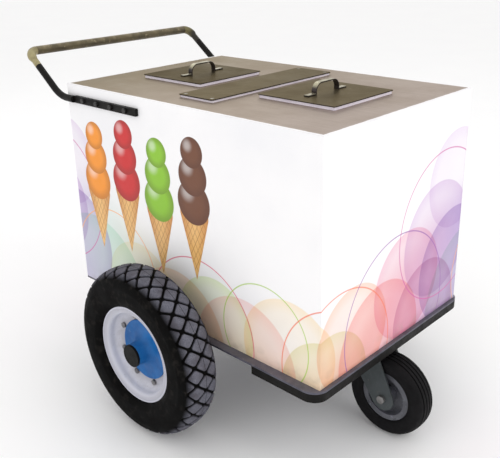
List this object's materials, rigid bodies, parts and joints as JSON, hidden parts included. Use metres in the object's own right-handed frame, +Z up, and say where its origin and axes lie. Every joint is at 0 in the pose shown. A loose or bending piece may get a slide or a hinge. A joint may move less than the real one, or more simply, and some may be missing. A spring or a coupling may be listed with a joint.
{
  "type": "ice cream push cart",
  "caption": "Insulated ice cream push cart: boxy cabinet with lift-off hatch lids, tubular push handle, pneumatic side wheels and a swivelling front caster.",
  "frame": {"origin": "on the ground under the axle of the two large wheels, midway between them", "axes": "+X forward, towards the caster; +Y to the cart's left; +Z up"},
  "size_m": [1.059, 0.829, 0.839],
  "materials": {
    "panel_white": "gloss white sheet",
    "foam": "cut foam board",
    "liner_steel": "satin sheet",
    "cold_plate": "moulded",
    "deck_steel": "satin sheet",
    "lid_steel": "dull satin sheet",
    "throat_plastic": "moulded",
    "gasket": "matte",
    "strap_steel": "polished",
    "black_paint": "worn satin",
    "crossbar_steel": "worn, tarnished",
    "elbow_steel": "worn, tarnished",
    "plate_paint": "dull grey",
    "zinc": "plated",
    "tyre": "dusty rubber",
    "tube_rubber": "matte",
    "rim_paint": "light grey gloss",
    "hub_paint": "blue gloss",
    "cap_black": "matte",
    "bearing_steel": "ground",
    "caster_paint": "zinc grey"
  },
  "bodies": {
    "cart": {"panel_left": "panel_white", "panel_right": "panel_white", "panel_front": "panel_white", "panel_rear": "panel_white", "wall_insulation": "foam", "roof_insulation": "foam", "inner_liner": "liner_steel", "cold_plate": "cold_plate", "top_deck": "deck_steel", "hatch_throats": "throat_plastic", "centre_cover": "lid_steel", "centre_gasket": "gasket", "centre_plug": "foam", "centre_screws": "zinc", "handle_bar_left": "black_paint", "handle_bar_right": "black_paint", "handle_arm_left": "black_paint", "handle_arm_right": "black_paint", "handle_elbows": "elbow_steel", "handle_crossbar": "crossbar_steel", "handle_bolts": "zinc", "floor_plate": "plate_paint", "bumper_bar": "black_paint", "cross_tubes": "black_paint", "axle_beam": "black_paint", "axle_saddles": "black_paint", "axle": "zinc", "axle_spacers": "zinc", "axle_nuts": "zinc", "caster_plate": "caster_paint", "caster_bolts": "zinc", "swivel_race": "zinc", "kingpin": "zinc"},
    "wheel_left": {"tyre_left": "tyre", "inner_tube_left": "tube_rubber", "rim_left": "rim_paint", "rim_bolts_left": "zinc", "hub_left": "hub_paint", "bearings_left": "bearing_steel", "hub_cap_left": "cap_black"},
    "wheel_right": {"tyre_right": "tyre", "inner_tube_right": "tube_rubber", "rim_right": "rim_paint", "rim_bolts_right": "zinc", "hub_right": "hub_paint", "bearings_right": "bearing_steel", "hub_cap_right": "cap_black"},
    "caster_swivel": {"caster_fork": "caster_paint", "caster_axle": "zinc"},
    "caster_roller": {"caster_wheel": "caster_paint", "caster_bearings": "bearing_steel", "caster_tyre": "tyre"},
    "lid_front": {"lid_plate_front": "lid_steel", "lid_gasket_front": "gasket", "lid_plug_front": "throat_plastic", "lid_handle_front": "strap_steel"},
    "lid_rear": {"lid_plate_rear": "lid_steel", "lid_gasket_rear": "gasket", "lid_plug_rear": "throat_plastic", "lid_handle_rear": "strap_steel"}
  },
  "joints": [
    {"name": "wheel_left_spin", "type": "hinge", "parent": "cart", "child": "wheel_left", "pos_m": [0, 0.364, 0.2025], "axis": [0, 1, 0], "continuous": true},
    {"name": "wheel_right_spin", "type": "hinge", "parent": "cart", "child": "wheel_right", "pos_m": [0, -0.364, 0.2025], "axis": [0, 1, 0], "continuous": true},
    {"name": "caster_turn", "type": "hinge", "parent": "cart", "child": "caster_swivel", "pos_m": [0.372, 0, 0.206], "axis": [0, 0, 1], "continuous": true},
    {"name": "caster_spin", "type": "hinge", "parent": "caster_swivel", "child": "caster_roller", "pos_m": [0.432, 0, 0.0975], "axis": [0, 1, 0], "continuous": true},
    {"name": "lid_front_lift", "type": "slide", "parent": "cart", "child": "lid_front", "axis": [0, 0, 1], "range_m": [0, 0.25]},
    {"name": "lid_rear_lift", "type": "slide", "parent": "cart", "child": "lid_rear", "axis": [0, 0, 1], "range_m": [0, 0.25]}
  ]
}
